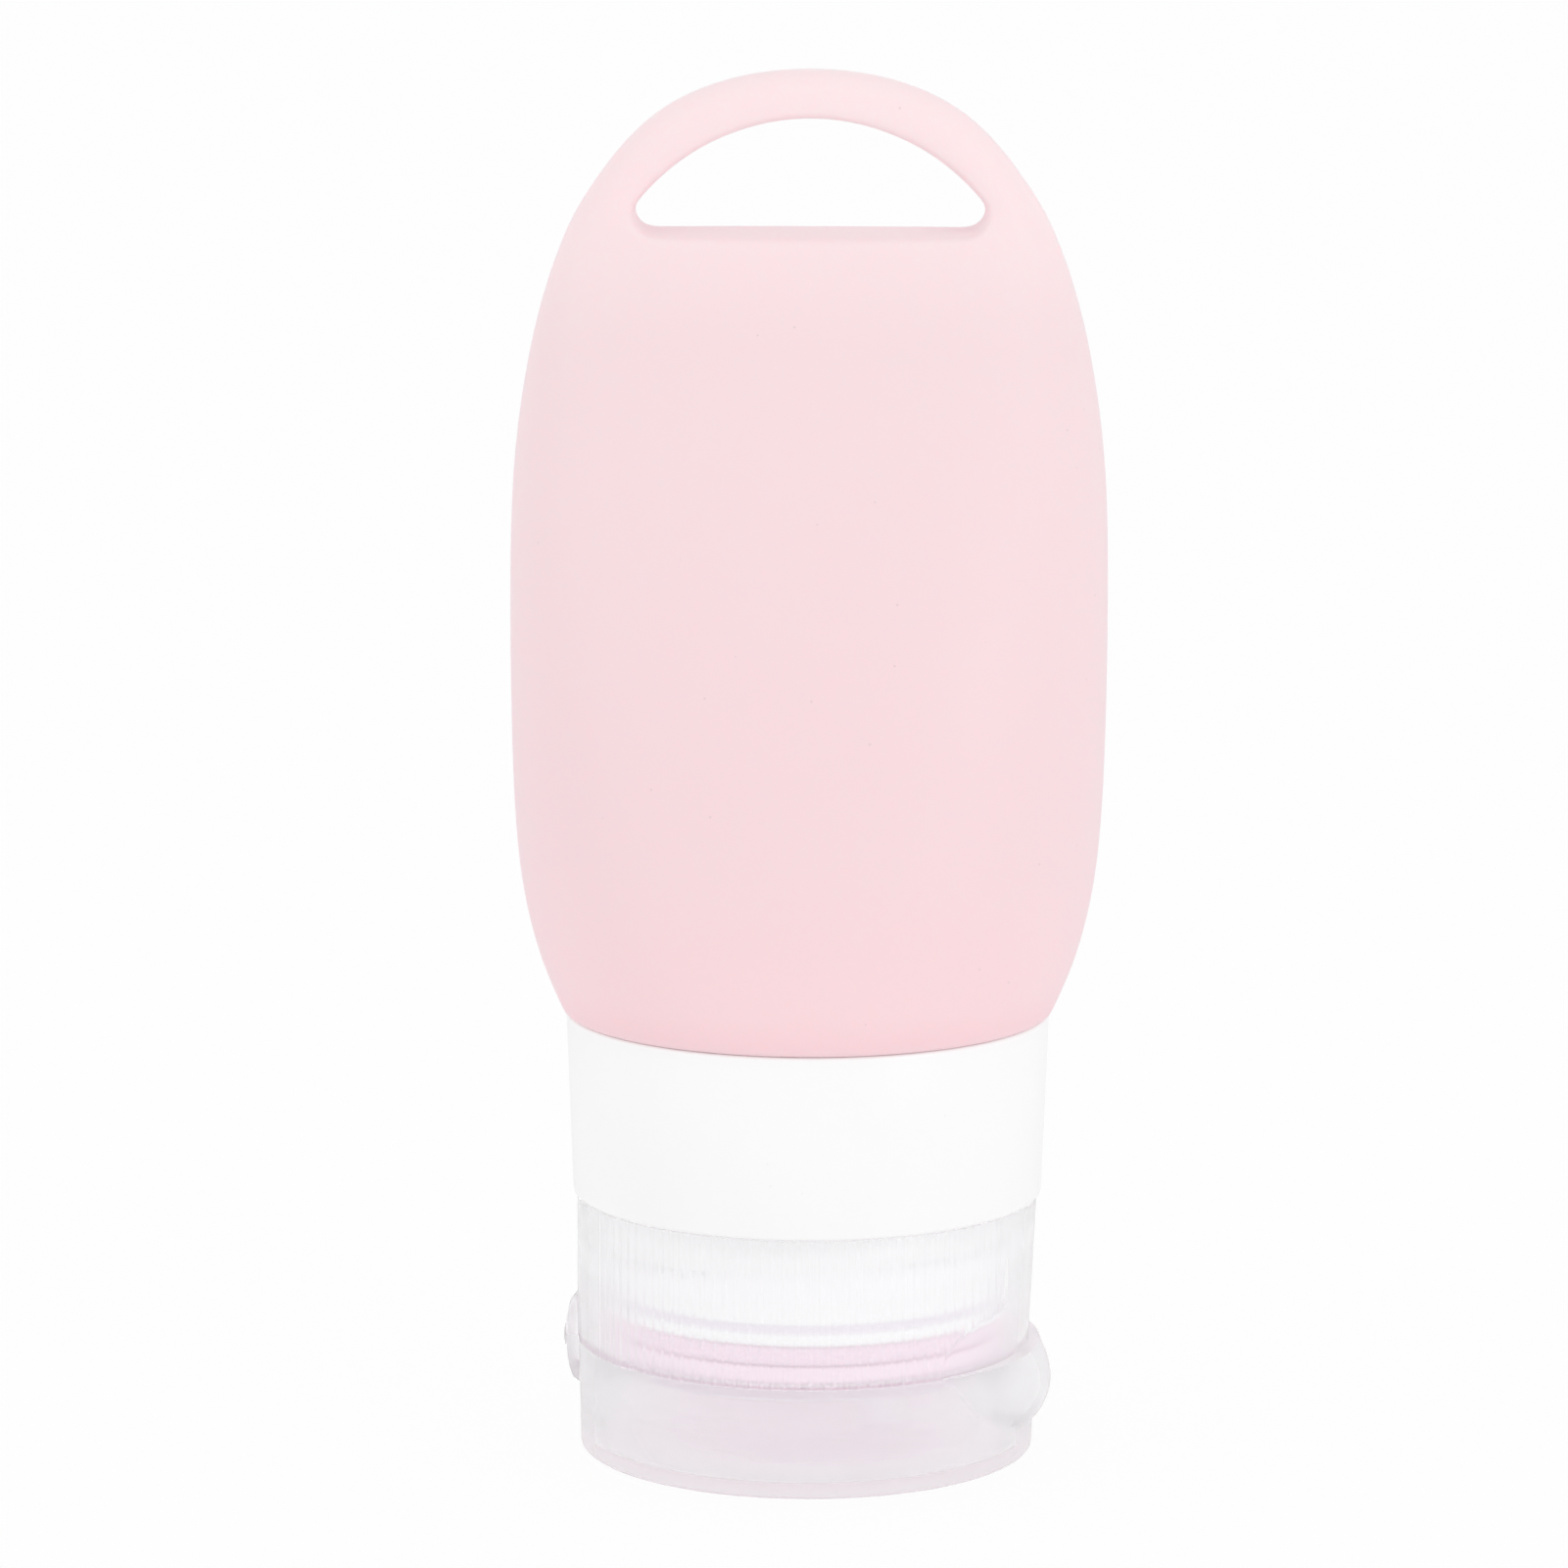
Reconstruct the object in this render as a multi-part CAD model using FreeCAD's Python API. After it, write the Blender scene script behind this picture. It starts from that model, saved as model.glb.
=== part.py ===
import FreeCAD, Part
import math
import os

V = FreeCAD.Vector
UP = V(0, 0, 1)
OUT = "parts"

# Heights of the pieces, stacked up from the underside of the closed flip lid
lid_height = 9.3
cap_height = 12.45
cap_gap = 0.25
collar_height = 15.5
body_height = 78.9

# Squeeze body, soft silicone: ovals stacked from the round shoulder to the flat top
body_width = 50.0
body_depth = 42.0
body_wall = 2.6
section_points = 24
band_shares = (0.0, 0.26, 0.54, 0.8, 1.0)
height_shares = (0.0, 0.05, 0.10, 0.16, 0.24, 0.34, 0.46, 0.58, 0.68,
                 0.76, 0.82, 0.87, 0.91, 0.945, 0.97, 0.988)
width_shares = (0.824, 0.894, 0.94, 0.974, 0.991, 0.998, 1.0, 0.992, 0.95,
                0.893, 0.826, 0.74, 0.65, 0.546, 0.428, 0.28)
depth_shares = (0.981, 0.995, 0.99, 0.968, 0.917, 0.835, 0.715, 0.585, 0.468,
                0.366, 0.284, 0.22, 0.182, 0.158, 0.141, 0.12)
squareness_shares = (1.0, 1.0, 1.0, 1.02, 1.05, 1.08, 1.12, 1.16, 1.2,
                     1.22, 1.24, 1.25, 1.25, 1.25, 1.25, 1.25)

# Hollow of the body at the lower of those stations, drawn in towards its top
hollow_shares = (1.0, 1.0, 1.0, 1.0, 1.0, 1.0, 1.0, 0.98, 0.93, 0.82)
hollow_top_share = 0.79
hollow_tip_share = 0.5

# Hanging hole through the flat top
loop_arc_share = 0.728
loop_bar_height = 4.0
loop_opening_height = 9.1
loop_corner_radius = 1.7
loop_edge_chamfer = 0.9

# Root, neck and lip of the body
root_wall = 2.45
neck_wall = 2.35
lip_thickness = 2.1
shoulder_slope_width = 1.5
shoulder_slope_height = 2.5
shoulder_ledge = 0.4
root_slope_height = 3.5

# Collar with its screw neck, stiff plastic
collar_overhang = 0.46
collar_flare = 0.57
collar_wall = 1.21
collar_floor_thickness = 2.1
collar_edge_round = 0.35
screw_neck_wall = 1.65

# Seal ring
seal_thickness = 1.2
seal_bore_clearance = 0.4

# Screw cap, clear plastic
cap_radius = 19.3
cap_wall = 1.8
thread_room = 1.1
rib_rise = 0.15
rib_sink = 0.22
rib_pitch_deg = 3.0
ribs_per_side = 40
tab_panel_half_deg = 24.0
deck_step = 0.1
deck_thickness = 1.5
deck_clearance = 0.35
spout_offset = 6.1
spout_root_radius = 2.95
spout_tip_radius = 2.6
spout_length = 5.5
orifice_radius = 1.5
funnel_radius = 2.3
recess_half_width = 13.8
recess_height = 8.0
recess_depth = 0.9

# Flip lid, clear plastic
lid_set_in = 0.08
lid_taper = 0.22
lid_wall = 1.25
lid_floor_thickness = 1.4
lid_foot_round = 0.7
lid_inner_round = 0.6
plug_clearance = 0.18
plug_engagement = 2.2
plug_tip_round = 0.5
plug_flange_radius = 2.5
plug_flange_height = 0.5

# Finger tab, circles in plan stacked down from the lid's rim
tab_stand_out = 1.56
tab_depth = 6.9
tab_depth_shares = (0.0, 0.25, 0.5, 0.75, 1.0)
tab_reach_shares = (0.953, 0.987, 1.0, 0.977, 0.9215)
tab_radius_shares = (0.866, 0.772, 0.68, 0.577, 0.46)

# Living hinge: an ear on the cap, an ear on the lid and a thin web across the fold
ear_width = 9.0
ear_stand_out = 1.1
ear_sink = 1.1
ear_flat = 0.9
cap_ear_height = 2.75
lid_ear_height = 5.2
ear_bow_share = 0.7
ear_end_sink = 0.35
web_width = 8.0
web_thickness = 0.35

# Turn of the cap and lid about the bottle's axis
cap_clock_deg = -10.0

# Sizes that follow from those above
half_width = body_width / 2
half_depth = body_depth / 2
parting_z = lid_height
cap_top_z = parting_z + cap_height
collar_bottom_z = cap_top_z + cap_gap
collar_top_z = collar_bottom_z + collar_height
apex_z = collar_top_z + body_height
loop_arc_radius = half_width * loop_arc_share
loop_top_z = apex_z - loop_bar_height
loop_floor_z = loop_top_z - loop_opening_height
collar_bottom_radius = cap_radius + collar_overhang
collar_top_radius = collar_bottom_radius + collar_flare
root_radius = collar_bottom_radius - collar_wall
root_bore_radius = root_radius - root_wall
shoulder_bore_radius = root_bore_radius + shoulder_slope_width
cap_bore_radius = cap_radius - cap_wall
screw_neck_radius = cap_bore_radius - thread_room
lip_radius = screw_neck_radius
neck_radius = screw_neck_radius - screw_neck_wall
neck_bore_radius = neck_radius - neck_wall
lid_rim_radius = cap_radius - lid_set_in
lid_foot_radius = lid_rim_radius - lid_taper
lid_bore_radius = lid_foot_radius - lid_wall
deck_radius = lid_bore_radius - deck_clearance
plug_radius = orifice_radius - plug_clearance
tab_reach = lid_rim_radius + tab_stand_out
ear_face = cap_radius + ear_stand_out
ear_foot = cap_radius - ear_sink
deck_top_z = parting_z + deck_step
deck_bottom_z = deck_top_z - deck_thickness
spout_tip_z = deck_bottom_z - spout_length
lip_bottom_z = deck_top_z + seal_thickness
screw_neck_end_z = lip_bottom_z + lip_thickness
cup_floor_z = collar_bottom_z + collar_floor_thickness

os.makedirs(OUT, exist_ok=True)


def save(shape, name):
    solid = shape.Solids[0]
    print(name, solid.isValid(), len(shape.Solids), round(solid.Volume), len(solid.Faces))
    solid.exportStep(os.path.join(OUT, name + ".step"))


def clocked(shape):
    turned = shape.copy()
    turned.rotate(V(0, 0, 0), UP, cap_clock_deg)
    return turned


def line(a, b):
    return Part.LineSegment(a, b).toShape()


def arc(a, b, c):
    return Part.Arc(a, b, c).toShape()


def rod(radius, low_z, high_z, x=0):
    return Part.makeCylinder(radius, high_z - low_z, V(x, 0, low_z), UP)


def revolved(*points):
    corners = [V(r, 0, z) for r, z in points]
    outline = Part.makePolygon(corners + corners[:1])
    return Part.Face(outline).revolve(V(0, 0, 0), UP, 360)


def oval(a, b, squareness, z):
    points = []
    for i in range(section_points):
        angle = 2 * math.pi * i / section_points
        c = math.cos(angle)
        s = math.sin(angle)
        x = a * math.copysign(abs(c) ** (1 / squareness), c)
        y = b * math.copysign(abs(s) ** (1 / squareness), s)
        points.append(V(x, y, z))
    curve = Part.BSplineCurve()
    steps = [float(i) for i in range(section_points + 1)]
    curve.interpolate(Points=points, PeriodicFlag=True, Parameters=steps)
    return Part.Wire(curve.toShape())


def station(i, wall, share, squareness):
    a = half_width * width_shares[i]
    b = half_depth * depth_shares[i]
    z = collar_top_z + body_height * height_shares[i]
    return oval((a - wall) * share, (b - wall) * share, squareness, z)


# Squeeze body above the shoulder
skin = [station(i, 0, 1, squareness) for i, squareness in enumerate(squareness_shares)]
outer = Part.makeLoft(skin + [Part.Vertex(V(0, 0, apex_z))], True)

# The same skin parted into bands, each with its own face
bands = []
for low_share, high_share in zip(band_shares, band_shares[1:]):
    slab = Part.makeBox(2 * body_width, 2 * body_depth, body_height * (high_share - low_share))
    slab.translate(V(-body_width, -body_depth, collar_top_z + body_height * low_share))
    bands.append(outer.common(slab))
last = len(hollow_shares) - 1
foot_radius = shoulder_bore_radius + shoulder_ledge
hollow_skin = [oval(foot_radius, foot_radius, 1, collar_top_z)]
for i in range(1, last + 1):
    hollow_skin.append(station(i, body_wall, hollow_shares[i], 1))
tip_a = (half_width * width_shares[last] - body_wall) * hollow_tip_share
tip_b = (half_depth * depth_shares[last] - body_wall) * hollow_tip_share
tip_z = collar_top_z + body_height * hollow_top_share
hollow_skin.append(oval(tip_a, tip_b, 1, tip_z))
hollow = Part.makeLoft(hollow_skin, True, True)

# Root in the collar's cup, neck through the screw neck and lip turned out over its end
root = revolved(
    (0, collar_top_z),
    (root_radius, collar_top_z),
    (root_radius, cup_floor_z),
    (neck_radius, cup_floor_z),
    (neck_radius, screw_neck_end_z),
    (lip_radius, screw_neck_end_z),
    (lip_radius, lip_bottom_z),
    (0, lip_bottom_z),
)
neck_hollow = revolved(
    (0, lip_bottom_z),
    (neck_bore_radius, lip_bottom_z),
    (neck_bore_radius, cup_floor_z),
    (root_bore_radius, cup_floor_z + root_slope_height),
    (root_bore_radius, collar_top_z - shoulder_slope_height),
    (shoulder_bore_radius, collar_top_z),
    (0, collar_top_z),
)

# Hanging hole, a round arch over a flat floor
arch_z = loop_top_z - loop_arc_radius
arch = Part.makeCylinder(loop_arc_radius, body_depth, V(0, -half_depth, arch_z), V(0, 1, 0))
over_floor = Part.makeBox(body_width, body_depth, apex_z - loop_floor_z)
over_floor.translate(V(-half_width, -half_depth, loop_floor_z))
loop_hole = arch.common(over_floor)
corners = []
for e in loop_hole.Edges:
    if e.BoundBox.YLength > half_depth and e.BoundBox.ZMin < loop_floor_z + loop_corner_radius:
        corners.append(e)
loop_hole = loop_hole.makeFillet(loop_corner_radius, corners)

body = root.fuse(bands)
body = body.cut(hollow.fuse(neck_hollow))
body = body.cut(loop_hole)
rims = []
for e in body.Edges:
    box = e.BoundBox
    in_hole = box.ZMin > loop_floor_z - loop_edge_chamfer and box.ZMax < loop_top_z + loop_edge_chamfer
    if in_hole and abs(e.CenterOfMass.y) > loop_edge_chamfer:
        rims.append(e)
body = body.makeChamfer(loop_edge_chamfer, rims)
save(body, "bottle_body")

# Collar: a cup for the root, with the screw neck below it
collar = revolved(
    (collar_bottom_radius, collar_bottom_z),
    (collar_top_radius, collar_top_z),
    (root_radius, collar_top_z),
    (root_radius, cup_floor_z),
    (neck_radius, cup_floor_z),
    (neck_radius, screw_neck_end_z),
    (screw_neck_radius, screw_neck_end_z),
    (screw_neck_radius, collar_bottom_z),
)
outer_edges = []
for e in collar.Edges:
    flat = e.BoundBox.ZLength < collar_edge_round
    if flat and e.BoundBox.XMax > root_radius + collar_edge_round:
        outer_edges.append(e)
collar = collar.makeFillet(collar_edge_round, outer_edges)
save(collar, "neck_collar")

# Seal ring between the lip and the cap's deck
seal = rod(lip_radius, deck_top_z, lip_bottom_z)
seal = seal.cut(rod(neck_bore_radius + seal_bore_clearance, deck_top_z, lip_bottom_z))
save(seal, "seal_ring")


# Skirt of the screw cap, ribbed round both sides and plain at the tab and at the hinge
def on_skirt(radius, degrees):
    angle = math.radians(degrees)
    return V(radius * math.cos(angle), radius * math.sin(angle), parting_z)


rib_root = cap_radius - rib_sink
rib_crest = cap_radius + rib_rise
ribbed_deg = rib_pitch_deg * ribs_per_side
hinge_panel_half_deg = 180 - tab_panel_half_deg - ribbed_deg
skirt_edges = []
for start, panel_half in ((tab_panel_half_deg, hinge_panel_half_deg),
                          (180 + hinge_panel_half_deg, tab_panel_half_deg)):
    stop = start + ribbed_deg
    end = stop + 2 * panel_half
    skirt_edges.append(line(on_skirt(cap_radius, start), on_skirt(rib_root, start)))
    for i in range(ribs_per_side):
        a = start + rib_pitch_deg * i
        b = a + rib_pitch_deg
        crest = on_skirt(rib_crest, (a + b) / 2)
        skirt_edges.append(arc(on_skirt(rib_root, a), crest, on_skirt(rib_root, b)))
    skirt_edges.append(line(on_skirt(rib_root, stop), on_skirt(cap_radius, stop)))
    middle = on_skirt(cap_radius, stop + panel_half)
    skirt_edges.append(arc(on_skirt(cap_radius, stop), middle, on_skirt(cap_radius, end)))
skirt = Part.Face(Part.Wire(skirt_edges)).extrude(V(0, 0, cap_top_z - parting_z))

# Finger recess, an arch sunk into the skirt over the tab
centre = V(0, 0, parting_z)
arch_curve = Part.Ellipse(V(0, recess_half_width, parting_z), centre + V(0, 0, recess_height), centre)
recess = Part.Face(Part.Wire(arch_curve.toShape())).extrude(V(cap_radius + recess_half_width, 0, 0))
recess = recess.cut(rod(cap_radius - recess_depth, parting_z - recess_height, cap_top_z))
skirt = skirt.cut(recess)


# Half of the hinge: flat beside the fold, then bowed back into the wall
def ear(wall_radius, height, way):
    side = -ear_width / 2
    flat_z = parting_z + way * ear_flat
    bow_x = -wall_radius - (ear_face - wall_radius) * ear_bow_share
    bow_z = flat_z + way * (height - ear_flat) * ear_bow_share
    end_z = parting_z + way * height
    outline = Part.Wire([
        line(V(-ear_foot, side, parting_z), V(-ear_face, side, parting_z)),
        line(V(-ear_face, side, parting_z), V(-ear_face, side, flat_z)),
        arc(V(-ear_face, side, flat_z), V(bow_x, side, bow_z), V(ear_end_sink - wall_radius, side, end_z)),
        line(V(ear_end_sink - wall_radius, side, end_z), V(-ear_foot, side, end_z)),
        line(V(-ear_foot, side, end_z), V(-ear_foot, side, parting_z)),
    ])
    return Part.Face(outline).extrude(V(0, ear_width, 0))


# Screw cap: skirt, deck, spout and its half of the hinge
cap = skirt.fuse(ear(cap_radius, cap_ear_height, 1))
cap = cap.cut(rod(cap_bore_radius, deck_top_z, cap_top_z))
cap = cap.fuse(rod(deck_radius, deck_bottom_z, deck_top_z))
spout = Part.makeCone(spout_tip_radius, spout_root_radius, spout_length, V(spout_offset, 0, spout_tip_z), UP)
cap = cap.fuse(spout)
cap = cap.cut(rod(orifice_radius, spout_tip_z, deck_top_z, spout_offset))
funnel = Part.makeCone(orifice_radius, funnel_radius, deck_thickness, V(spout_offset, 0, deck_bottom_z), UP)
cap = cap.cut(funnel)
save(clocked(cap), "screw_cap")

# Flip lid: a shallow cup with the finger tab, its half of the hinge and the plug for the spout
lid = revolved((0, 0), (lid_foot_radius, 0), (lid_rim_radius, parting_z), (0, parting_z))
tab_skin = []
for depth, reach, radius in zip(tab_depth_shares, tab_reach_shares, tab_radius_shares):
    tab_r = tab_reach * radius
    tab_centre = V(tab_reach * reach - tab_r, 0, parting_z - tab_depth * depth)
    tab_skin.append(Part.Wire(Part.Circle(tab_centre, UP, tab_r).toShape()))
lid = lid.fuse(Part.makeLoft(tab_skin, True))
lid = lid.fuse(ear(lid_rim_radius, lid_ear_height, -1)).removeSplitter()
foot = [e for e in lid.Edges if e.BoundBox.ZMax < lid_foot_round / 2]
lid = lid.makeFillet(lid_foot_round, foot)
lid_hollow = rod(lid_bore_radius, lid_floor_thickness, parting_z)
inner_foot = [e for e in lid_hollow.Edges if e.BoundBox.ZMax < lid_floor_thickness + lid_inner_round]
lid_hollow = lid_hollow.makeFillet(lid_inner_round, inner_foot)
lid = lid.cut(lid_hollow)
plug_top_z = spout_tip_z + plug_engagement
plug = rod(plug_radius, lid_floor_thickness, plug_top_z, spout_offset)
tip = [e for e in plug.Edges if e.BoundBox.ZMin > plug_top_z - plug_tip_round]
plug = plug.makeFillet(plug_tip_round, tip)
flange = rod(plug_flange_radius, lid_floor_thickness, lid_floor_thickness + plug_flange_height, spout_offset)
lid = lid.fuse(flange).fuse(plug)
save(clocked(lid), "flip_lid")

# Thin web across the fold
web = Part.makeBox(web_thickness, web_width, 2 * ear_flat)
web.translate(V(-ear_face - web_thickness, -web_width / 2, parting_z - ear_flat))
save(clocked(web), "hinge_web")

print("hollow ml", round((hollow.Volume + neck_hollow.Volume) / 1000, 1))
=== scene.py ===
import math

import bmesh
import bpy
from mathutils import Matrix, Vector


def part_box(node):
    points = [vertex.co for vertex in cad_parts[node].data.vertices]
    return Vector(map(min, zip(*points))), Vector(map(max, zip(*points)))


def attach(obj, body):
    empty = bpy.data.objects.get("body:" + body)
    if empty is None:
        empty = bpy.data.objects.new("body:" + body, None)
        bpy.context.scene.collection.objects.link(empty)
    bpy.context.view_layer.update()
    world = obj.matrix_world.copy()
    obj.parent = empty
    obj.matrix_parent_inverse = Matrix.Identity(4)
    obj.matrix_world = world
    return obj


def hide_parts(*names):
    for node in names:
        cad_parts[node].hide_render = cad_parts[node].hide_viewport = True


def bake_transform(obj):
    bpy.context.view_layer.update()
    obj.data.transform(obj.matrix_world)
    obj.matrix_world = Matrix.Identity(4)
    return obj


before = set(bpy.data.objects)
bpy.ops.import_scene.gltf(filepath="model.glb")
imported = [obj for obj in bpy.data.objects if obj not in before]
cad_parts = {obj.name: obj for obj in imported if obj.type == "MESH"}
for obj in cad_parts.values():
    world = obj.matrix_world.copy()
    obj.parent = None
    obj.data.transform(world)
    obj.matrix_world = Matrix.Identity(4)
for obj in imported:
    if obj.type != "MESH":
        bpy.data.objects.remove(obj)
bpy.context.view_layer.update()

mm = 0.001
TURN = 2 * math.pi

# Heights and radii that the frame gives
body_low, body_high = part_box("bottle_body")
collar_low, collar_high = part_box("neck_collar")
_, seal_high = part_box("seal_ring")
cap_low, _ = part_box("screw_cap")
_, lid_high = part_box("flip_lid")
apex_z = body_high.z
lip_bottom_z = body_low.z
collar_top_z = collar_high.z
collar_top_radius = collar_high.x
screw_neck_end_z = collar_low.z - 0.3 * mm
spout_tip_z = cap_low.z
parting_z = lid_high.z
screw_neck_radius = seal_high.x

# Drawing: points this near are one, faces that meet stay this far apart, and sharper edges show
merge_gap = 0.002 * mm
slip = 0.02 * mm
soft_crease_deg = 60.0
turned_crease_deg = 35.0
moulded_crease_deg = 40.0

# Squeeze body, in shares from the collar's top to the apex
half_width = 25.0 * mm
half_depth = 21.0 * mm
body_height = apex_z - collar_top_z
height_shares = (
    0.0, 0.05, 0.10, 0.16, 0.24, 0.34, 0.46, 0.58,
    0.68, 0.76, 0.82, 0.87, 0.91, 0.945, 0.97, 0.988,
)
width_shares = (
    0.824, 0.894, 0.94, 0.974, 0.991, 0.998, 1.0, 0.992,
    0.95, 0.893, 0.826, 0.74, 0.65, 0.546, 0.428, 0.28,
)
depth_shares = (
    0.981, 0.995, 0.99, 0.968, 0.917, 0.835, 0.715, 0.585,
    0.468, 0.366, 0.284, 0.22, 0.182, 0.158, 0.141, 0.12,
)
squareness_shares = (1.0, 1.0, 1.0, 1.02, 1.05, 1.08, 1.12, 1.16, 1.2, 1.22, 1.24)
rings_below_loop = 10
body_wall = 2.6 * mm
hollow_shares = (1.0, 1.0, 1.0, 1.0, 1.0, 1.0, 1.0, 0.98, 0.93, 0.82)
hollow_tip_z = collar_top_z + 0.79 * body_height
hollow_tip_rise = 0.3 * mm
hollow_tip_share = 0.5
bore_rings = 6
body_columns = 48

# Hanging loop
loop_floor_z = apex_z - 13.22 * mm
loop_top_z = apex_z - 4.0 * mm
loop_arc_radius = 18.2 * mm
loop_bead = 1.35 * mm
loop_squareness = 1.25
leg_fullness = 0.88
crown_fullness = 1.3
rim_fullness = 0.45
rim_spread = 0.6
leg_columns = 7
floor_steps = 8
outer_rise_shares = (0.848, 0.871, 0.912, 0.947, 0.972, 0.99, 0.9981, 1.001)
outer_width_shares = (0.784, 0.74, 0.65, 0.546, 0.428, 0.28, 0.14, 0.0)
inner_angle_deg = (54.0, 49.5, 42.5, 34.1, 25.7, 16.3, 7.9, 0.0)

# Neck of the body and the collar round it
root_radius = 18.5 * mm
root_bore = 16.1 * mm
neck_radius = 14.7 * mm
neck_bore = 12.4 * mm
shoulder_radius = 20.6 * mm
collar_bottom_z = 22.0 * mm
collar_bottom_radius = 19.76 * mm
cup_radius = 18.55 * mm
cup_floor_z = 24.1 * mm
sleeve_radius = 14.75 * mm
root_gap = 0.05 * mm
lip_gap = 0.03 * mm
neck_bead = 0.2 * mm
neck_groove = 0.3 * mm
groove_z = screw_neck_end_z + 1.4 * mm
collar_columns = 192
collar_ease = 0.35 * mm
seal_bore = neck_bore + 0.4 * mm
seal_columns = 128
seal_ease = 0.3 * mm

# Threads of neck and cap
thread_pitch = 4.0 * mm
thread_turns = 1.1
thread_rise = thread_pitch * thread_turns
thread_low_z = collar_bottom_z - 1.4 * mm - thread_rise
thread_start = math.radians(-47.0)
thread_steps = 96
thread_root_half = 1.2 * mm
thread_crest_half = 0.2 * mm
thread_sink = 0.1 * mm
thread_runs_per_turn = 8
thread_end_share = 0.15
neck_thread_crest = 16.8 * mm
cap_thread_crest = 16.9 * mm

# Screw cap
cap_radius = 19.42 * mm
cap_bore = 17.5 * mm
deck_radius = 17.4 * mm
deck_top_z = parting_z - 0.05 * mm
parting_flat_radius = 18.7 * mm
parting_drop = 0.14 * mm
deck_bottom_z = parting_z - 1.4 * mm
deck_rings = ((12.0 * mm, 0.35), (6.5 * mm, 0.75))
skirt_top_z = collar_bottom_z - 0.05 * mm
rib_root = cap_radius - 0.06 * mm
rib_crest = cap_radius + 0.06 * mm
rib_pitch_deg = 3.0
ribs_per_side = 40
rib_faces = 12
rib_share = 0.25
rib_run_deg = 36.0
rib_end_share = 0.3
tab_panel_deg = 24.0
panel_run_deg = 6.0
coarse_step = 0.5 * mm
fine_step = 0.3 * mm
fine_top_z = parting_z + 3.8 * mm
spout_offset = 6.1 * mm
spout_root_radius = 2.95 * mm
spout_tip_radius = 2.6 * mm
orifice_radius = 1.5 * mm
funnel_radius = 2.3 * mm
recess_half_width = 13.8 * mm
recess_height = 5.1 * mm
recess_depth = 0.62 * mm
recess_arch = 3.0
recess_edge = 0.12

# Flip lid
lid_rim_radius = 19.34 * mm
lid_foot_radius = 19.15 * mm
lid_bore = 17.75 * mm
lid_floor_z = 1.05 * mm
lid_columns = 480
foot_round = 0.45 * mm
foot_steps = 4
floor_round = 0.6 * mm
floor_rings = ((10.0 * mm, 0.45), (5.0 * mm, 0.85))
plug_radius = 1.32 * mm
plug_flange_radius = 2.5 * mm
plug_top_z = spout_tip_z + 2.2 * mm
tab_reach = lid_rim_radius + 1.46 * mm
tab_depth = 6.9 * mm
tab_crease = 0.12 * mm
tab_crease_width = 0.07 * mm
tab_blend = 0.05 * mm
tab_reach_shares = (0.953, 0.987, 1.0, 0.977, 0.9215)
tab_radius_shares = (0.866, 0.772, 0.68, 0.577, 0.46)

# Living hinge
ear_half_width = 4.5 * mm
ear_side_run = 0.6 * mm
ear_roundness = 0.75
ear_face = cap_radius + 0.65 * mm
cap_ear_height = 3.5 * mm
lid_ear_height = 3.9 * mm
ear_end_sink = 0.05 * mm
web_half_width = 4.0 * mm
web_half_height = 0.9 * mm
web_thickness = 0.35 * mm
web_edge_share = 0.1
web_swell_share = 0.25
web_cuts = 15

# Cap and lid are screwed on a little askew
cap_clock = math.radians(-10.0)

# Camera, as the photograph was taken
camera_distance = 574.2 * mm
camera_height = 155.3 * mm
camera_aside = -2.05 * mm
camera_tilt_deg = 9.75
camera_roll_deg = 0.16
camera_lens_mm = 159.65
camera_sensor_mm = 36.0


# Small tools for drawing pieces

def circle(radius, z, centre=0.0):
    return lambda angle: Vector((centre + radius * math.cos(angle), radius * math.sin(angle), z))


def oval(a, b, squareness, z):
    def point(angle):
        c = math.cos(angle)
        s = math.sin(angle)
        x = a * math.copysign(abs(c) ** (1 / squareness), c)
        y = b * math.copysign(abs(s) ** (1 / squareness), s)
        return Vector((x, y, z))
    return point


def between(values, share):
    """A smooth curve through evenly spaced values."""
    place = min(max(share, 0.0), 1.0) * (len(values) - 1)
    i = min(int(place), len(values) - 2)
    t = place - i
    a = values[max(i - 1, 0)]
    b = values[i]
    c = values[i + 1]
    d = values[min(i + 2, len(values) - 1)]
    return b + 0.5 * t * (c - a + t * (2 * a - 5 * b + 4 * c - d + t * (3 * (b - c) + d - a)))


def smooth_step(share):
    t = min(max(share, 0.0), 1.0)
    return t * t * (3 - 2 * t)


def soft_max(a, b, blend):
    h = max(blend - abs(a - b), 0.0) / blend
    return max(a, b) + h * h * blend / 4


def name_new(name):
    piece = bpy.context.object
    piece.name = name
    piece.data.name = name
    return piece


def draw_rings(name, columns, rings):
    """A tube drawn out of a circle, one extrusion for each ring."""
    bpy.ops.object.select_all(action="DESELECT")
    bpy.ops.mesh.primitive_circle_add(vertices=columns, radius=half_width)
    piece = name_new(name)
    bpy.ops.object.mode_set(mode="EDIT")
    mesh = bmesh.from_edit_mesh(piece.data)
    column = mesh.verts.layers.int.new("column")
    for i, vert in enumerate(mesh.verts):
        vert[column] = i
        vert.co = rings[0](TURN * i / columns)
    for ring in rings[1:]:
        bpy.ops.mesh.extrude_region_move()
        place_drawn(piece, lambda i: ring(TURN * i / columns))
    bpy.ops.object.mode_set(mode="OBJECT")
    return piece


def place_drawn(piece, point):
    mesh = bmesh.from_edit_mesh(piece.data)
    column = mesh.verts.layers.int["column"]
    for vert in mesh.verts:
        if vert.select:
            vert.co = point(vert[column])
    bmesh.update_edit_mesh(piece.data)


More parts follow.
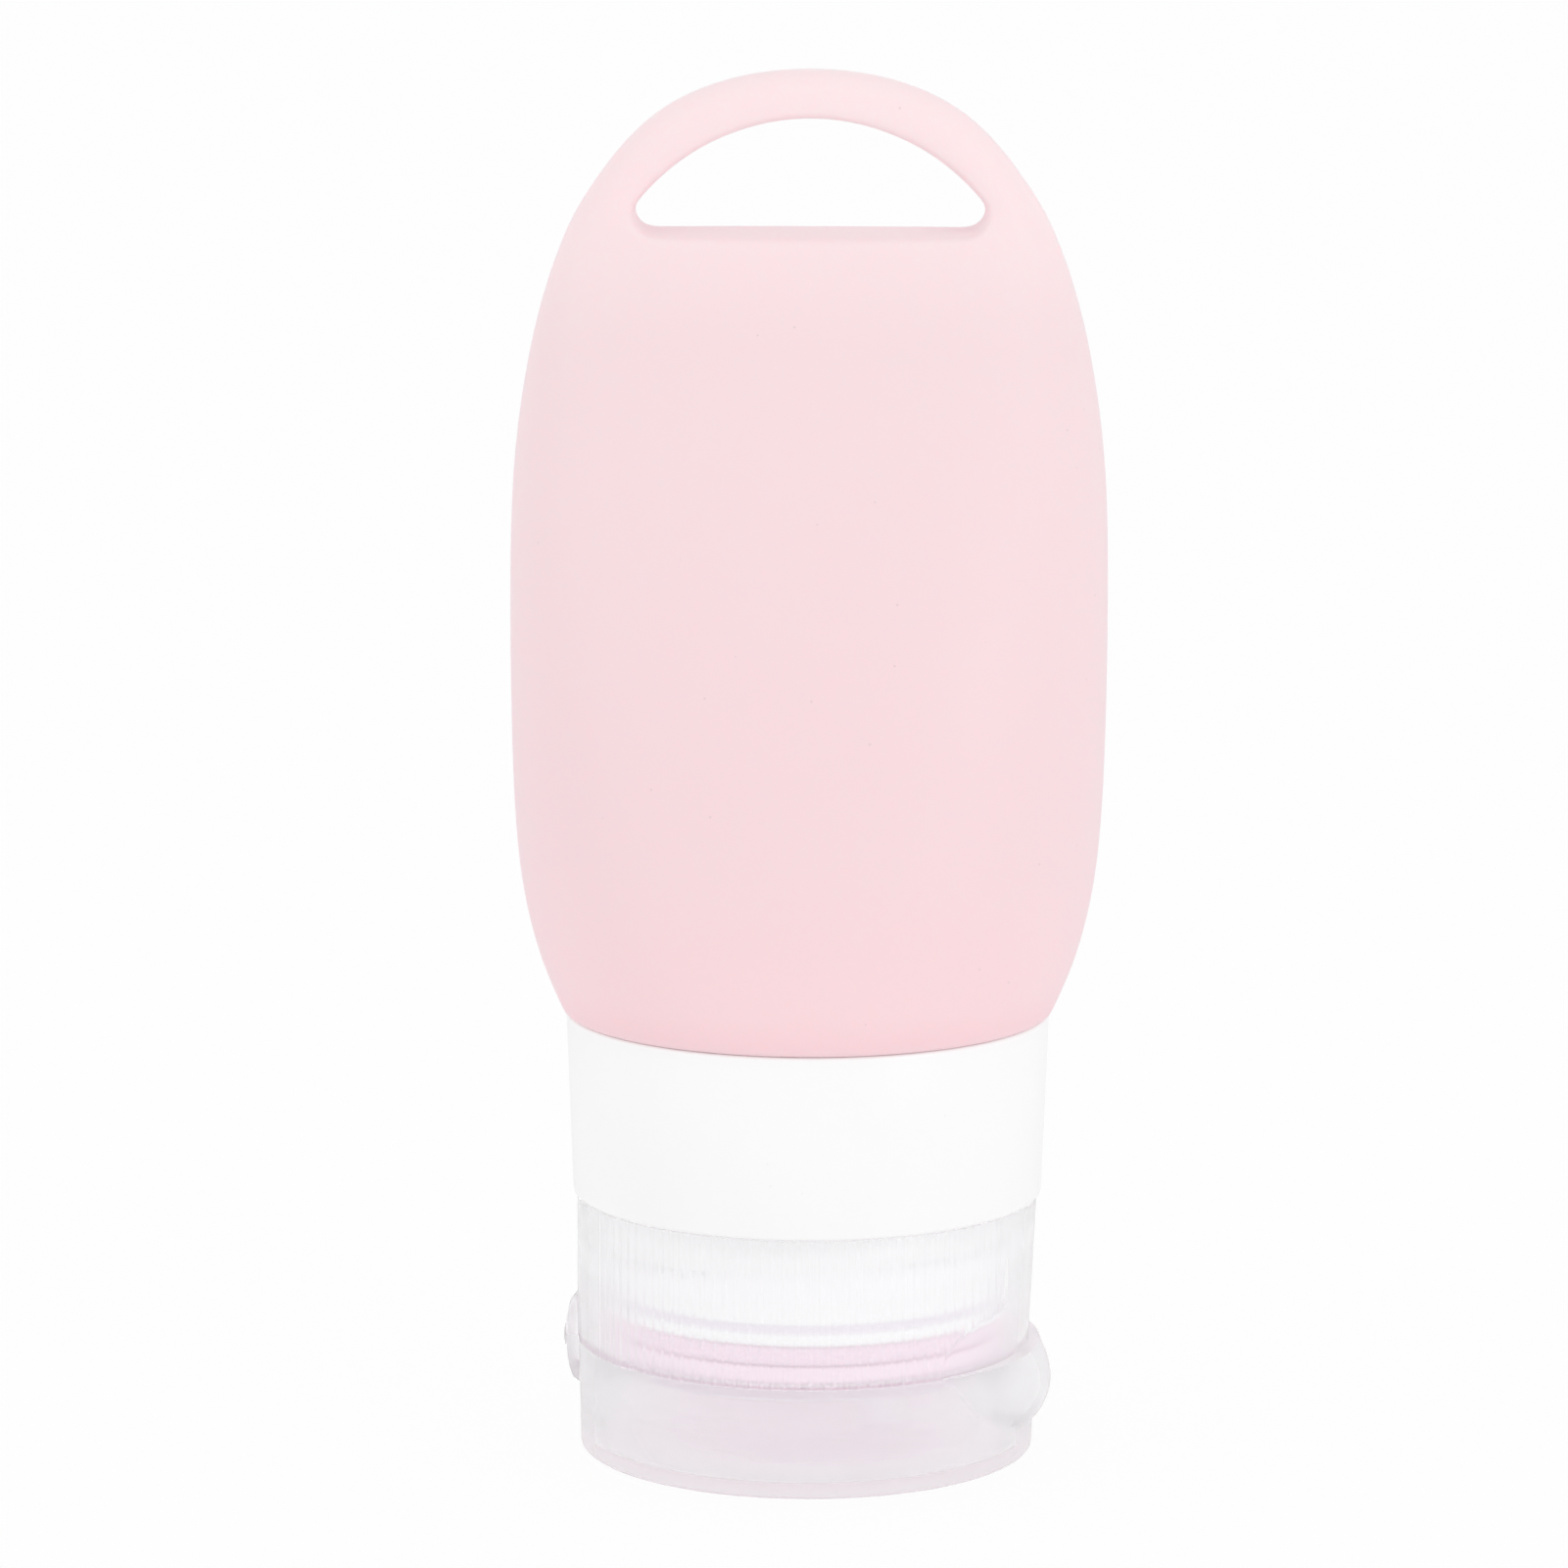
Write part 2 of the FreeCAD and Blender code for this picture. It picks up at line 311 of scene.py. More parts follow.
def close_up(piece, seam=False):
    """Joins the last ring to the first, or fills both ends, and turns the faces outwards."""
    bpy.ops.object.mode_set(mode="EDIT")
    bpy.ops.mesh.select_all(action="SELECT")
    if seam:
        bpy.ops.mesh.remove_doubles(threshold=merge_gap)
    else:
        bpy.ops.mesh.fill_holes(sides=0)
    bpy.ops.mesh.select_all(action="SELECT")
    bpy.ops.mesh.normals_make_consistent(inside=False)
    bpy.ops.object.mode_set(mode="OBJECT")


def turn_with_cap(piece):
    piece.data.transform(Matrix.Rotation(cap_clock, 4, "Z"))


def pick(piece):
    bpy.ops.object.select_all(action="DESELECT")
    piece.select_set(True)
    bpy.context.view_layer.objects.active = piece


def smooth_piece(piece, crease_deg):
    pick(piece)
    bpy.ops.object.shade_smooth_by_angle(angle=math.radians(crease_deg))


def subdivide_piece(piece, levels):
    pick(piece)
    bpy.ops.object.modifier_add(type="SUBSURF")
    piece.modifiers[-1].levels = levels
    piece.modifiers[-1].render_levels = levels
    bpy.ops.object.modifier_apply(modifier=piece.modifiers[-1].name)


def hand_over(piece, material, slot, body, *nodes):
    """Finishes a piece: its material, the body it rides and the solids it replaces. The slot is
    not used.
    """
    if "column" in piece.data.attributes:
        piece.data.attributes.remove(piece.data.attributes["column"])
    piece.data.materials.clear()
    piece.data.materials.append(material)
    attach(piece, body)
    if nodes:
        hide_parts(*nodes)


# Squeeze body

def body_oval(i, wall=0.0, share=1.0, squareness=None):
    a = (half_width * width_shares[i] - wall) * share
    b = (half_depth * depth_shares[i] - wall) * share
    z = collar_top_z + body_height * height_shares[i]
    return oval(a, b, squareness or squareness_shares[i], z)


def neck_rings():
    """The bore down to the lip, then the outside of lip, neck and root back up to the shoulder."""
    turned = (
        (shoulder_radius - body_wall, collar_top_z),
        (root_bore + 0.3 * mm, collar_top_z - 2.0 * mm),
        (root_bore, collar_top_z - 3.0 * mm),
        (root_bore, cup_floor_z + 3.6 * mm),
        (neck_bore + 0.4 * mm, cup_floor_z + 0.3 * mm),
        (neck_bore, cup_floor_z - 0.5 * mm),
        (neck_bore, lip_bottom_z + 0.8 * mm),
        (neck_bore + 0.1 * mm, lip_bottom_z + 0.15 * mm),
        (neck_bore + 0.6 * mm, lip_bottom_z + slip),
        (screw_neck_radius - 0.6 * mm, lip_bottom_z + slip),
        (screw_neck_radius - 0.12 * mm, lip_bottom_z + 0.12 * mm),
        (screw_neck_radius - slip, lip_bottom_z + 0.6 * mm),
        (screw_neck_radius - slip, screw_neck_end_z - 0.5 * mm),
        (screw_neck_radius - 0.12 * mm, screw_neck_end_z - 0.08 * mm),
        (screw_neck_radius - 0.6 * mm, screw_neck_end_z - lip_gap),
        (neck_radius + 0.3 * mm, screw_neck_end_z - lip_gap),
        (neck_radius, screw_neck_end_z + 0.4 * mm),
        (neck_radius, cup_floor_z - 0.4 * mm),
        (neck_radius + 0.1 * mm, cup_floor_z + root_gap),
        (neck_radius + 0.6 * mm, cup_floor_z + root_gap),
        (root_radius - 0.5 * mm, cup_floor_z + root_gap),
        (root_radius, cup_floor_z + 0.5 * mm),
        (root_radius, collar_top_z - 0.5 * mm),
        (root_radius + 0.2 * mm, collar_top_z + slip),
        (root_radius + 0.6 * mm, collar_top_z + slip),
        (shoulder_radius - 0.35 * mm, collar_top_z + slip),
        (shoulder_radius, collar_top_z + 0.12 * mm),
        (shoulder_radius + 0.22 * mm, collar_top_z + 0.6 * mm),
    )
    return [circle(radius, z) for radius, z in turned]


def share_at(shares, height):
    """One of the body's shares at a height share, running out to nothing at the apex."""
    if height >= height_shares[-1]:
        return shares[-1] * math.sqrt(max(1.0 - height, 0.0) / (1.0 - height_shares[-1]))
    i = max(k for k, h in enumerate(height_shares) if h <= height)
    t = (height - height_shares[i]) / (height_shares[i + 1] - height_shares[i])
    return shares[i] + t * (shares[i + 1] - shares[i])


def depth_on_body(x, z):
    """Half the body's depth at a place in the front view."""
    height = (z - collar_top_z) / body_height
    a = half_width * share_at(width_shares, height)
    b = half_depth * share_at(depth_shares, height)
    power = 2 * loop_squareness
    return b * max(1.0 - (x / a) ** power, 0.0) ** (1 / power) if x < a else 0.0


def top_ring():
    """The ring under the hanging hole, from which the loop grows."""
    z = loop_floor_z - loop_bead
    height = (z - collar_top_z) / body_height
    a = half_width * share_at(width_shares, height)
    b = half_depth * share_at(depth_shares, height)
    return oval(a, b, loop_squareness, z)


def rim_round(share):
    """The rounding of the hole's edge, from front to back: how far out it is and how far along."""
    over = math.pi * (share - 0.5)
    out = max(math.cos(over), 0.0) ** rim_fullness
    return out, math.copysign(abs(math.sin(over)) ** rim_spread, over)


def bridge_hole_floor(piece):
    """Draws the hole's floor as a bead from the front of the top ring over to its back."""
    half = body_columns // 2
    front = range(half + leg_columns, body_columns - leg_columns + 1)
    top_z = loop_floor_z - loop_bead
    rim = top_ring()
    bpy.ops.object.mode_set(mode="EDIT")
    bpy.ops.mesh.select_mode(type="EDGE")
    bpy.ops.mesh.select_all(action="DESELECT")
    mesh = bmesh.from_edit_mesh(piece.data)
    column = mesh.verts.layers.int["column"]
    for edge in mesh.edges:
        at_top = all(abs(v.co.z - top_z) < 0.01 * mm for v in edge.verts)
        if at_top and edge.is_boundary and all(v[column] in front for v in edge.verts):
            edge.select_set(True)
    bmesh.update_edit_mesh(piece.data)
    for step in range(1, floor_steps + 1):
        rise, along = rim_round(step / floor_steps)
        bpy.ops.mesh.extrude_region_move()
        place_drawn(piece, lambda i: floor_point(rim(TURN * i / body_columns), rise, along))
    bpy.ops.mesh.select_all(action="SELECT")
    bpy.ops.mesh.remove_doubles(threshold=merge_gap)
    bpy.ops.object.mode_set(mode="OBJECT")


def floor_point(edge, rise, along):
    return Vector((edge.x, abs(edge.y) * along, edge.z + loop_bead * rise))


def bar_section(step, side):
    """The loop's bar at one step from leg to crown, with the hole's rounded edge."""
    outer_z = collar_top_z + body_height * outer_rise_shares[step]
    outer = Vector((half_width * outer_width_shares[step], 0, outer_z))
    angle = math.radians(inner_angle_deg[step])
    inner_z = loop_top_z - loop_arc_radius * (1 - math.cos(angle))
    inner = Vector((loop_arc_radius * math.sin(angle), 0, inner_z))
    across = outer - inner
    edge = loop_bead / across.length
    rim = inner + across * edge
    depth = depth_on_body(rim.x, rim.z)
    last = len(outer_width_shares) - 1
    fullness = 1 / (leg_fullness + (crown_fullness - leg_fullness) * step / last)
    corners = 2 * leg_columns + floor_steps

    def point(i):
        if leg_columns <= i <= leg_columns + floor_steps:
            rise, along = rim_round((i - leg_columns) / floor_steps)
            p = inner + across * edge * (1 - rise)
            p.y = -along * depth
        else:
            turn = math.pi / 2 * (i if i < leg_columns else i - corners) / leg_columns
            p = inner + across * (edge + (1 - edge) * math.cos(turn) ** fullness)
            p.y = depth * math.copysign(abs(math.sin(turn)) ** fullness, turn)
        p.x *= side
        return p
    return point


def draw_leg(piece, side):
    """Draws one leg of the loop up to the crown, from the open end beside the hole."""
    bpy.ops.object.mode_set(mode="EDIT")
    bpy.ops.mesh.select_mode(type="EDGE")
    bpy.ops.mesh.select_all(action="DESELECT")
    mesh = bmesh.from_edit_mesh(piece.data)
    column = mesh.verts.layers.int["column"]
    rim = [e for e in mesh.edges if e.is_boundary and min(v.co.x * side for v in e.verts) > 0
           and min(v.co.z for v in e.verts) > loop_floor_z - 1.01 * loop_bead]
    start = max((v for e in rim for v in e.verts), key=lambda v: v.co.x * side)
    ordered = [start]
    here = start
    came = None
    while True:
        steps = [e for e in here.link_edges if e in rim and e is not came]
        if came is None:
            steps.sort(key=lambda e: -e.other_vert(here).co.y)
        came = steps[0]
        here = came.other_vert(here)
        if here is start:
            break
        ordered.append(here)
    for i, vert in enumerate(ordered):
        vert[column] = i
    for edge in rim:
        edge.select_set(True)
    bmesh.update_edit_mesh(piece.data)
    for step in range(len(outer_width_shares)):
        bpy.ops.mesh.extrude_region_move()
        place_drawn(piece, bar_section(step, side))
    bpy.ops.object.mode_set(mode="OBJECT")


def make_squeeze_body(material):
    last = len(hollow_shares) - 1
    tip_a = (half_width * width_shares[last] - body_wall) * hollow_tip_share
    tip_b = (half_depth * depth_shares[last] - body_wall) * hollow_tip_share
    rings = [
        oval(tip_a * 0.5, tip_b * 0.4, 1.0, hollow_tip_z + hollow_tip_rise),
        oval(tip_a, tip_b, 1.0, hollow_tip_z),
    ]
    for i in range(last, 0, -1):
        rings.append(body_oval(i, body_wall, hollow_shares[i], 1.0))
    inner_rings = len(rings) + bore_rings
    rings += neck_rings()
    for i in range(1, rings_below_loop):
        rings.append(body_oval(i))
    rings.append(top_ring())
    piece = draw_rings("squeeze_body", body_columns, rings)
    # Marks the hollow's inside, where the silicone material paints a pink glow
    inside = piece.data.attributes.new("inside", "FLOAT", "POINT")
    for i, place in enumerate(inside.data):
        place.value = 1.0 if i < inner_rings * body_columns else 0.0
    bridge_hole_floor(piece)
    for side in (1, -1):
        draw_leg(piece, side)
    close_up(piece, seam=True)
    close_up(piece)
    subdivide_piece(piece, 2)
    smooth_piece(piece, soft_crease_deg)
    hand_over(piece, material, "silicone", "bottle", "bottle_body")


# Collar, seal ring and threads

def rounded(profile, radius, steps=3):
    """Corners of a turned outline eased with small arcs."""
    eased = []
    count = len(profile)
    for i in range(count):
        before = Vector(profile[i - 1])
        here = Vector(profile[i])
        after = Vector(profile[(i + 1) % count])
        reach = min(radius, (before - here).length * 0.45, (after - here).length * 0.45)
        a = here + (before - here).normalized() * reach
        b = here + (after - here).normalized() * reach
        for k in range(steps + 1):
            t = k / steps
            eased.append(a * (1 - t) ** 2 + here * 2 * t * (1 - t) + b * t ** 2)
    return eased


def make_turned(name, columns, profile, radius, material, slot, body, node):
    outline = rounded(profile, radius)
    rings = [circle(r, z) for r, z in outline + outline[:1]]
    piece = draw_rings(name, columns, rings)
    close_up(piece, seam=True)
    smooth_piece(piece, turned_crease_deg)
    hand_over(piece, material, slot, body, node)


def make_collar(material):
    profile = (
        (collar_bottom_radius, collar_bottom_z),
        (collar_top_radius, collar_top_z),
        (cup_radius, collar_top_z),
        (cup_radius, cup_floor_z),
        (sleeve_radius, cup_floor_z),
        (sleeve_radius, screw_neck_end_z),
        (screw_neck_radius + neck_bead, screw_neck_end_z),
        (screw_neck_radius + neck_bead, screw_neck_end_z + 0.95 * mm),
        (screw_neck_radius - neck_groove, groove_z - 0.3 * mm),
        (screw_neck_radius - neck_groove, groove_z + 0.3 * mm),
        (screw_neck_radius, groove_z + 0.45 * mm),
        (screw_neck_radius, collar_bottom_z),
    )
    make_turned("neck_collar_turned", collar_columns, profile, collar_ease,
                material, "collar_plastic", "bottle", "neck_collar")


def make_seal(material):
    profile = (
        (seal_bore, deck_top_z + slip),
        (screw_neck_radius, deck_top_z + slip),
        (screw_neck_radius, seal_high.z),
        (seal_bore, seal_high.z),
    )
    make_turned("seal_ring_turned", seal_columns, profile, seal_ease,
                material, "seal_silicone", "seal", "seal_ring")


def make_thread(name, root, crest, start_angle, material, slot, body):
    """One ridge wound round the axis, running out into the wall at both ends."""
    bpy.ops.object.select_all(action="DESELECT")
    bpy.ops.mesh.primitive_plane_add(size=2 * thread_root_half)
    ridge = name_new(name)
    bpy.ops.object.mode_set(mode="EDIT")
    bpy.ops.mesh.delete(type="ONLY_FACE")
    bpy.ops.object.mode_set(mode="OBJECT")
    for vert in ridge.data.vertices:
        outward = vert.co.x > 0
        height = math.copysign(thread_crest_half if outward else thread_root_half, vert.co.y)
        vert.co = Vector((crest if outward else root, 0, thread_low_z + height))
    bpy.ops.object.modifier_add(type="SCREW")
    screw = ridge.modifiers[-1]
    screw.angle = TURN * thread_turns
    screw.screw_offset = thread_rise
    screw.steps = int(thread_steps * thread_turns)
    screw.render_steps = screw.steps
    screw.use_merge_vertices = False
    bpy.ops.object.modifier_apply(modifier=screw.name)
    for vert in ridge.data.vertices:
        radius = math.hypot(vert.co.x, vert.co.y)
        if abs(radius - crest) > 0.05 * mm:
            continue
        along = (vert.co.z - thread_low_z) / thread_rise
        left = min(along, 1 - along) * thread_turns * thread_runs_per_turn
        share = thread_end_share + (1 - thread_end_share) * smooth_step(left)
        scale = (root + (crest - root) * share) / radius
        vert.co.x *= scale
        vert.co.y *= scale
    close_up(ridge)
    ridge.data.transform(Matrix.Rotation(start_angle, 4, "Z"))
    smooth_piece(ridge, moulded_crease_deg)
    hand_over(ridge, material, slot, body)


# Screw cap

def degrees_from_tab(angle):
    return abs((math.degrees(angle) + 180) % 360 - 180)


def ear_profile(rise, height, wall):
    """The face of the hinge's ear, round from the fold to its end."""
    end = wall - ear_end_sink
    return end + (ear_face - end) * (1 - (rise / height) ** 2) ** ear_roundness


def ear_radius(angle, rise, height, wall):
    """How far the hinge's ear stands out at an angle, or zero beside it."""
    if degrees_from_tab(angle) < 90 or not 0 <= rise <= height:
        return 0.0
    reach = ear_profile(rise, height, wall) / -math.cos(angle)
    aside = abs(reach * math.sin(angle))
    end = wall - ear_end_sink
    return end + (reach - end) * smooth_step((ear_half_width - aside) / ear_side_run)


def skirt_radius(angle, z):
    """The cap's outside: ribs, the scooped panel over the tab and the hinge's upper ear."""
    aside = degrees_from_tab(angle)
    rise = z - parting_z
    radius = cap_radius
    last_rib_deg = tab_panel_deg + rib_pitch_deg * ribs_per_side
    if tab_panel_deg < aside < last_rib_deg:
        u = ((aside - tab_panel_deg) / rib_pitch_deg) % 1.0
        run = smooth_step(min(aside - tab_panel_deg, last_rib_deg - aside) / rib_run_deg)
        fullness = rib_end_share + (1 - rib_end_share) * run
        swell = max(0.0, 1 - ((u - 0.5) / rib_share) ** 2)
        radius += (rib_crest - rib_root) * fullness * (swell - 0.5)
    if aside < 90:
        y = abs(cap_radius * math.sin(angle))
        inside = 1 - (y / recess_half_width) ** recess_arch - (rise / recess_height) ** recess_arch
        panel = smooth_step((tab_panel_deg - aside) / panel_run_deg)
        share = max(smooth_step(inside / recess_edge), panel)
        scooped = cap_radius - recess_depth * (skirt_top_z - z) / (skirt_top_z - parting_z)
        radius = min(radius, rib_crest + (scooped - rib_crest) * share)
    return max(radius, ear_radius(angle, rise, cap_ear_height, cap_radius))


def skirt_ring(z, ease=0.0):
    def point(angle):
        radius = skirt_radius(angle, z) - ease
        return Vector((radius * math.cos(angle), radius * math.sin(angle), z))
    return point


def towards_spout(shares, z):
    """Circles that close in on the spout, each with its share of the way there."""
    return [circle(radius, z, spout_offset * share) for radius, share in shares]


def make_screw_cap(material):
    columns = int(360 / rib_pitch_deg * rib_faces)
    rings = [
        skirt_ring(skirt_top_z, 0.12 * mm),
        skirt_ring(skirt_top_z - 0.04 * mm, 0.04 * mm),
    ]
    z = skirt_top_z - 0.12 * mm
    while z > fine_top_z:
        rings.append(skirt_ring(z))
        z -= coarse_step
    while z > parting_z + 0.25 * mm:
        rings.append(skirt_ring(z))
        z -= fine_step
    wall = 0.5 * mm
    rings += [
        skirt_ring(parting_z + 0.08 * mm, 0.01 * mm),
        skirt_ring(parting_z + slip, 0.03 * mm),
        circle(parting_flat_radius, parting_z + slip),
        circle(deck_radius + 0.25 * mm, parting_z + slip - parting_drop),
        circle(deck_radius, parting_z - 0.25 * mm - parting_drop),
        circle(deck_radius, deck_bottom_z + 0.3 * mm),
        circle(deck_radius - 0.3 * mm, deck_bottom_z),
        *towards_spout(deck_rings, deck_bottom_z),
        circle(spout_root_radius + wall, deck_bottom_z, spout_offset),
        circle(spout_root_radius + 0.1 * mm, deck_bottom_z - 0.15 * mm, spout_offset),
        circle(spout_root_radius - 0.03 * mm, deck_bottom_z - wall, spout_offset),
        circle(spout_tip_radius, spout_tip_z + 0.3 * mm, spout_offset),
        circle(spout_tip_radius - 0.25 * mm, spout_tip_z, spout_offset),
        circle(orifice_radius + 0.2 * mm, spout_tip_z, spout_offset),
        circle(orifice_radius, spout_tip_z + 0.2 * mm, spout_offset),
        circle(orifice_radius, deck_bottom_z, spout_offset),
        circle(funnel_radius - 0.1 * mm, deck_top_z - 0.2 * mm, spout_offset),
        circle(funnel_radius + 0.15 * mm, deck_top_z, spout_offset),
        *reversed(towards_spout(deck_rings, deck_top_z)),
        circle(cap_bore - 0.3 * mm, deck_top_z),
        circle(cap_bore, deck_top_z + 0.3 * mm),
        circle(cap_bore, skirt_top_z - 0.25 * mm),
        circle(cap_bore + 0.25 * mm, skirt_top_z),
    ]
    piece = draw_rings("screw_cap_ribbed", columns, rings + rings[:1])
    close_up(piece, seam=True)
    turn_with_cap(piece)
    smooth_piece(piece, moulded_crease_deg)
    hand_over(piece, material, "clear_plastic", "cap", "screw_cap")


# Flip lid

def lid_radius(angle, z):
    """The lid's outside: its wall, the crescent tab with a crease round it and the lower ear."""
    radius = lid_foot_radius + (lid_rim_radius - lid_foot_radius) * (z / parting_z)
    depth = (parting_z - z) / tab_depth
    if depth <= 1.0 and degrees_from_tab(angle) < 90:
        tab_radius = tab_reach * between(tab_radius_shares, depth)
        centre = tab_reach * between(tab_reach_shares, depth) - tab_radius
        aside = centre * math.sin(angle)
        tab = centre * math.cos(angle) + math.sqrt(tab_radius ** 2 - aside ** 2)
        beside = math.exp(-((tab - radius) / tab_crease_width) ** 2)
        crease = tab_crease * smooth_step(2 - 2 * depth) * beside
        radius = soft_max(radius, tab, tab_blend) - crease
    return max(radius, ear_radius(angle, parting_z - z, lid_ear_height, lid_rim_radius))


def lid_ring(z, ease=0.0):
    def point(angle):
        radius = lid_radius(angle, z) - ease
        return Vector((radius * math.cos(angle), radius * math.sin(angle), z))
    return point


def make_flip_lid(material):
    rings = [
        circle(2.0 * mm, 0.0),
        circle(10.0 * mm, 0.0),
        circle(lid_foot_radius - 1.5 * foot_round, 0.0),
    ]
    for k in range(foot_steps + 1):
        a = math.pi / 2 * k / foot_steps
        z = foot_round * (1 - math.cos(a))
        rings.append(lid_ring(z, foot_round * (1 - math.sin(a))))
    z = foot_round + fine_step
    while z < parting_z - 0.2 * mm:
        rings.append(lid_ring(z))
        z += fine_step
    rings += [
        lid_ring(parting_z - 0.07 * mm, 0.01 * mm),
        lid_ring(parting_z, 0.03 * mm),
        circle(parting_flat_radius, parting_z),
        circle(lid_bore + 0.12 * mm, parting_z - parting_drop),
        circle(lid_bore, parting_z - 0.15 * mm - parting_drop),
        circle(lid_bore, parting_z - 3.0 * mm),
        circle(lid_bore, lid_floor_z + floor_round),
        circle(lid_bore - 0.3 * floor_round, lid_floor_z + 0.3 * floor_round),
        circle(lid_bore - floor_round, lid_floor_z),
        *towards_spout(floor_rings, lid_floor_z),
        circle(plug_flange_radius + 0.15 * mm, lid_floor_z, spout_offset),
        circle(plug_flange_radius, lid_floor_z + 0.15 * mm, spout_offset),
        circle(plug_flange_radius, lid_floor_z + 0.35 * mm, spout_offset),
        circle(plug_flange_radius - 0.15 * mm, lid_floor_z + 0.5 * mm, spout_offset),
        circle(plug_radius + 0.15 * mm, lid_floor_z + 0.5 * mm, spout_offset),
        circle(plug_radius, lid_floor_z + 0.65 * mm, spout_offset),
        circle(plug_radius, plug_top_z - 0.5 * mm, spout_offset),
        circle(plug_radius - 0.15 * mm, plug_top_z - 0.15 * mm, spout_offset),
        circle(plug_radius - 0.5 * mm, plug_top_z, spout_offset),
    ]
    piece = draw_rings("flip_lid_clear", lid_columns, rings)
    close_up(piece)
    turn_with_cap(piece)
    smooth_piece(piece, moulded_crease_deg)
    hand_over(piece, material, "lid_plastic", "lid", "flip_lid")


def make_hinge_web(material):
    """A thin strip over the fold, thickest at its middle."""
    bpy.ops.object.select_all(action="DESELECT")
    bpy.ops.mesh.primitive_plane_add(size=2.0)
    web = name_new("hinge_web_strip")
    bpy.ops.object.mode_set(mode="EDIT")
    bpy.ops.mesh.subdivide(number_cuts=web_cuts)
    bpy.ops.mesh.extrude_region_move()
    mesh = bmesh.from_edit_mesh(web.data)
    for vert in mesh.verts:
        side = vert.co.x
        rise = side * web_half_height
        height, wall = lid_ear_height, lid_rim_radius
        if side > 0:
            height, wall = cap_ear_height, cap_radius
        face = ear_profile(abs(rise), height, wall)
        if vert.select:
            face += web_thickness * (web_edge_share + web_swell_share * (1 - side * side))
        vert.co = Vector((-face, vert.co.y * web_half_width, parting_z + rise))
    bmesh.update_edit_mesh(web.data)
    bpy.ops.mesh.select_all(action="SELECT")
    bpy.ops.mesh.normals_make_consistent(inside=False)
    bpy.ops.object.mode_set(mode="OBJECT")
    turn_with_cap(web)
    smooth_piece(web, moulded_crease_deg)
    web.data.materials.append(material)
    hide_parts("hinge_web")
    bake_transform(web)


# Finishes

cloud_range = (0.3, 0.7)
full_range = (0.0, 1.0)
silicone_ior = 1.41
collar_ior = 1.49
clear_ior = 1.36
sheen_roughness = 0.4
patch_scale = 160.0
tint_fade = 0.3 * mm
# Body tones by height: deeper pink at the thick lip with painted shade, painted shade darkening
# the body just above the collar, and paler towards the loop where the silicone thins, with painted
# light from above
silicone_tones_with_painted_shade = (
    (0.0, (0.925, 0.62, 0.775, 1)),
    (0.1, (0.94, 0.65, 0.7, 1)),
    (0.255, (0.93, 0.65, 0.685, 1)),
    (0.29, (0.91, 0.692, 0.72, 1)),
    (0.41, (0.885, 0.697, 0.722, 1)),
    (0.78, (0.89, 0.724, 0.744, 1)),
    (0.9, (0.945, 0.772, 0.79, 1)),
    (1.0, (0.955, 0.785, 0.8, 1)),
)
silicone_cloud = (0.92, 0.64, 0.69, 1)
silicone_dust = (0.6, 0.5, 0.52, 1)
painted_hollow_glow = (0.88, 0.6, 0.8, 1)
silicone_sheen = (0.94, 0.89, 1, 1)
no_glow = (0, 0, 0, 1)
collar_white = (0.945, 0.945, 0.947, 1)
collar_paler = (0.96, 0.959, 0.96, 1)
collar_groove_painted_shade = (0.79, 0.71, 0.82, 1)
collar_dust = (0.8, 0.79, 0.8, 1)
seal_pink = (0.92, 0.66, 0.8, 1)
seal_paler = (0.93, 0.69, 0.82, 1)


def new_material(name):
    material = bpy.data.materials.new(name)
    material.use_nodes = True
    nodes = material.node_tree.nodes
    return material, nodes, material.node_tree.links, nodes["Principled BSDF"]


def new_group(name, inputs, outputs):
    """An empty shader group that takes a place and some values, and gives values."""
    group = bpy.data.node_groups.new(name, "ShaderNodeTree")
    face = group.interface
    face.new_socket("Place", in_out="INPUT", socket_type="NodeSocketVector")
    for word in inputs:
        face.new_socket(word, in_out="INPUT", socket_type="NodeSocketFloat")
    for word in outputs:
        face.new_socket(word, in_out="OUTPUT", socket_type="NodeSocketFloat")
    entry = group.nodes.new("NodeGroupInput")
    leave = group.nodes.new("NodeGroupOutput")
    return group, group.nodes, group.links, entry.outputs, leave.inputs


def combine(nodes, links, operation, first, second=None):
    """Works out one value from one or two others, each of them a socket or a number."""
    node = nodes.new("ShaderNodeMath")
    node.operation = operation
    for socket, value in zip(node.inputs, (first, second)):
        if isinstance(value, bpy.types.NodeSocket):
            links.new(value, socket)
        elif value is not None:
            socket.default_value = value
    return node.outputs[0]


def map_range(nodes, links, value, low, high, to_low, to_high):
    node = nodes.new("ShaderNodeMapRange")
    node.inputs["From Min"].default_value = low
    node.inputs["From Max"].default_value = high
    node.inputs["To Min"].default_value = to_low
    node.inputs["To Max"].default_value = to_high
    links.new(value, node.inputs["Value"])
    return node.outputs["Result"]


def mix_colour(nodes, links, factor, first, second):
    node = nodes.new("ShaderNodeMix")
    node.data_type = "RGBA"
    links.new(factor, node.inputs["Factor"])
    for socket, value in ((node.inputs[6], first), (node.inputs[7], second)):
        if isinstance(value, tuple):
            socket.default_value = value
        else:
            links.new(value, socket)
    return node.outputs[2]


def mix_shaders(nodes, links, factor, first, second):
    node = nodes.new("ShaderNodeMixShader")
    links.new(factor, node.inputs["Fac"])
    links.new(first, node.inputs[1])
    links.new(second, node.inputs[2])
    return node.outputs["Shader"]


def object_place(nodes):
    return nodes.new("ShaderNodeTexCoord").outputs["Object"]


def height_of(nodes, links, place):
    split = nodes.new("ShaderNodeSeparateXYZ")
    links.new(place, split.inputs["Vector"])
    return split.outputs["Z"]


